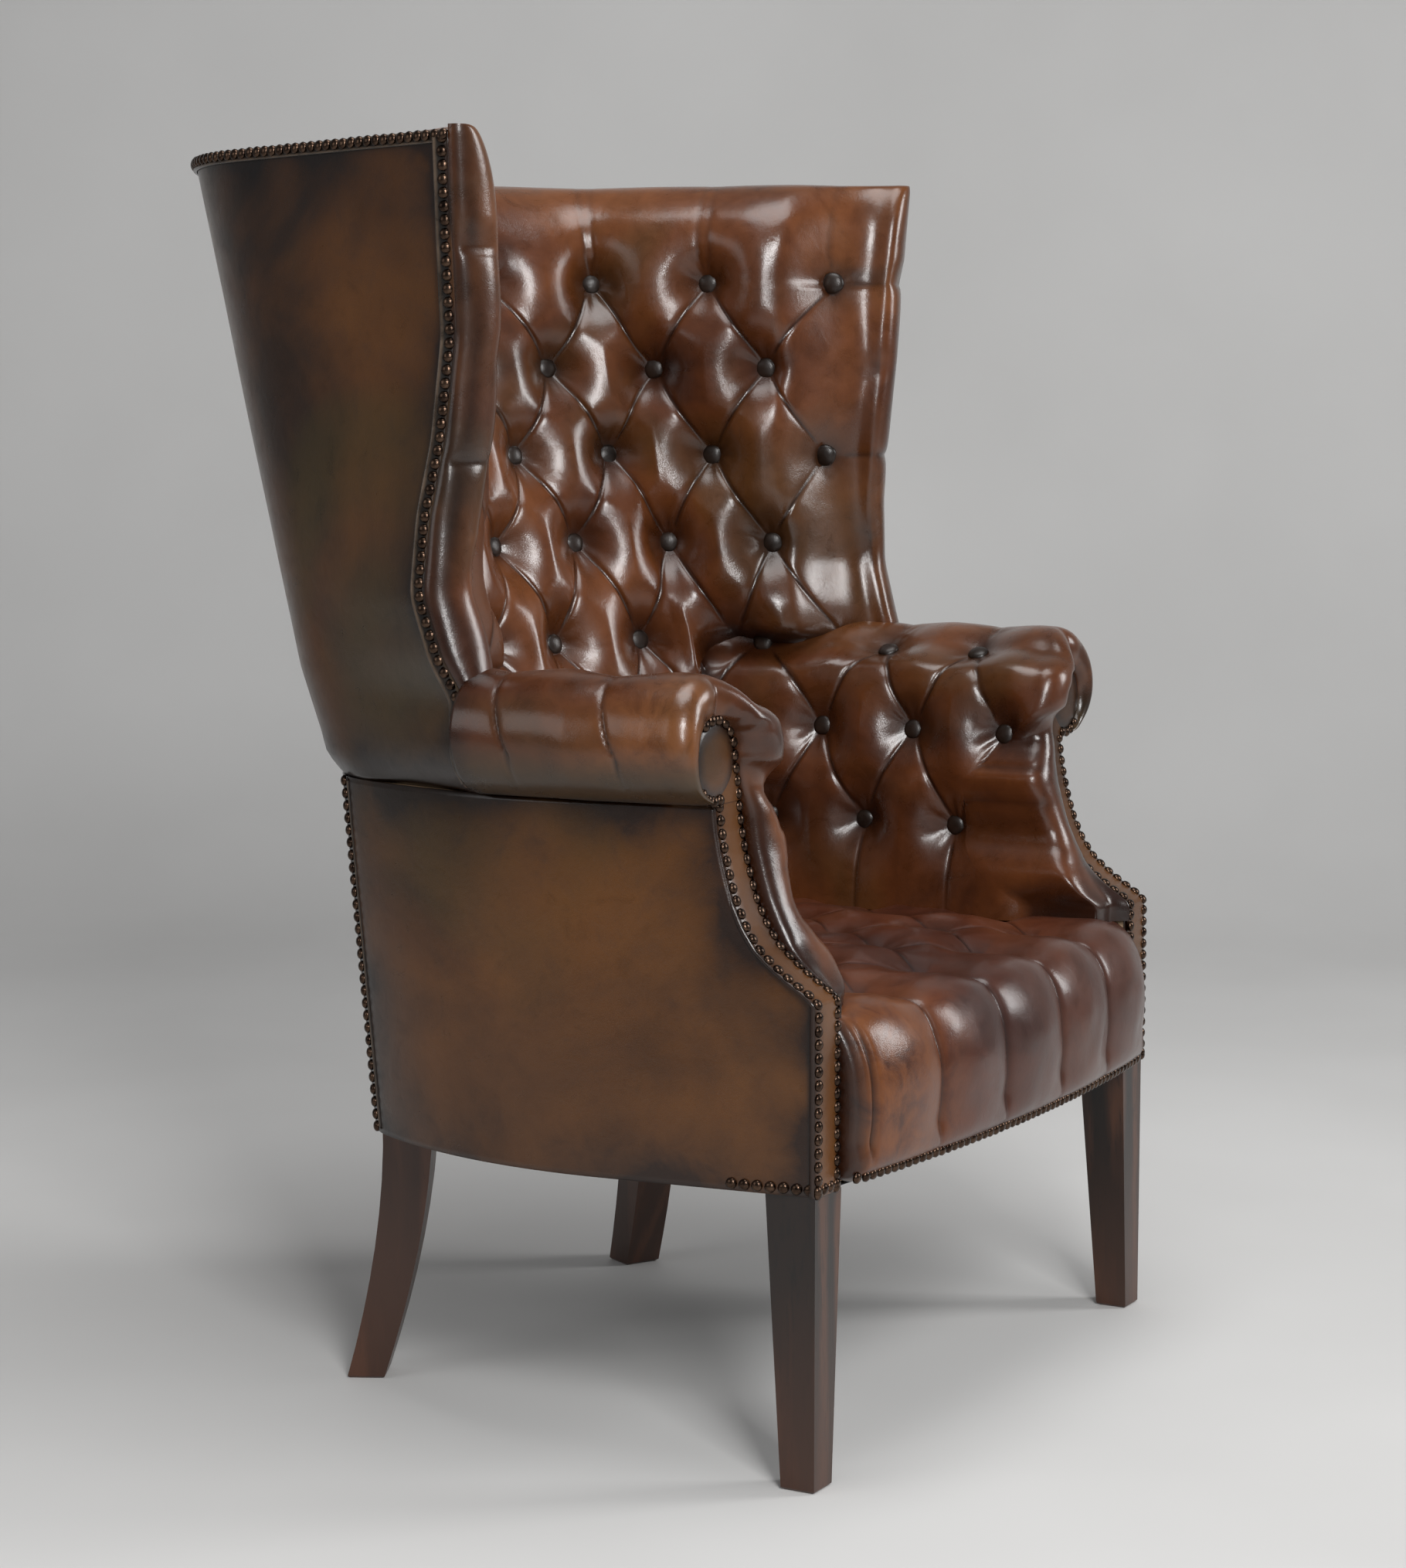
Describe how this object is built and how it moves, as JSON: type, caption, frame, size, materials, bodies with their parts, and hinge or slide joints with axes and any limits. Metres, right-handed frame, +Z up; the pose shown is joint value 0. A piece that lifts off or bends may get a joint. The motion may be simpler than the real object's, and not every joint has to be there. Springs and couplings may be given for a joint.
{
  "type": "hall porter chair",
  "caption": "Barrel-back wing armchair with a deep-buttoned leather inside, scrolled arms, fluted sprung seat and sabre-backed tapered wooden legs.",
  "frame": {"origin": "on the floor, under the middle of the chair's bounding box", "axes": "+Z up, the sitter faces -Y, +X is the sitter's left"},
  "size_m": [0.8496, 0.822, 1.113],
  "materials": {
    "outer_leather": "hand-dyed dark olive-brown leather, polished, with darker rubbed edges",
    "inner_leather": "hand-dyed warm brown leather, high polish",
    "seat_leather": "hand-dyed red-brown leather, high polish",
    "button_leather": "dark brown leather covered buttons",
    "mahogany": "dark mahogany, satin polish",
    "beech": "plain sawn beech",
    "canvas": "plain woven hessian",
    "jute": "woven jute webbing",
    "dust_cloth": "black woven cloth",
    "spring_steel": "copper-washed spring wire"
  },
  "bodies": {
    "root": {"arm_buttons_left": "button_leather", "arm_buttons_right": "button_leather", "arm_canvas": "canvas", "arm_level_rail": "beech", "arm_post_left": "beech", "arm_post_right": "beech", "arm_rail_left": "beech", "arm_rail_right": "beech", "back_buttons": "button_leather", "back_canvas": "canvas", "back_post_left": "beech", "back_post_right": "beech", "back_rail": "beech", "back_slats": "beech", "corner_block_1": "beech", "corner_block_2": "beech", "corner_block_3": "beech", "corner_block_4": "beech", "dust_cover": "dust_cloth", "facing_left": "outer_leather", "facing_right": "outer_leather", "front_leg_left": "mahogany", "front_leg_right": "mahogany", "front_rail": "beech", "inside_arm_left": "inner_leather", "inside_arm_right": "inner_leather", "inside_back": "inner_leather", "lower_back_pad": "inner_leather", "lower_back_panel": "outer_leather", "outer_back_panel": "outer_leather", "rear_leg_left": "mahogany", "rear_leg_right": "mahogany", "seat_buttons": "button_leather", "seat_cover": "seat_leather", "seat_springs": "spring_steel", "seat_webbing": "jute", "side_panel_left": "outer_leather", "side_panel_right": "outer_leather", "side_rail_left": "beech", "side_rail_right": "beech", "spring_canvas": "canvas", "top_rail": "beech", "wing_post_left": "beech", "wing_post_right": "beech", "wing_roll_left": "inner_leather", "wing_roll_right": "inner_leather"}
  },
  "joints": []
}
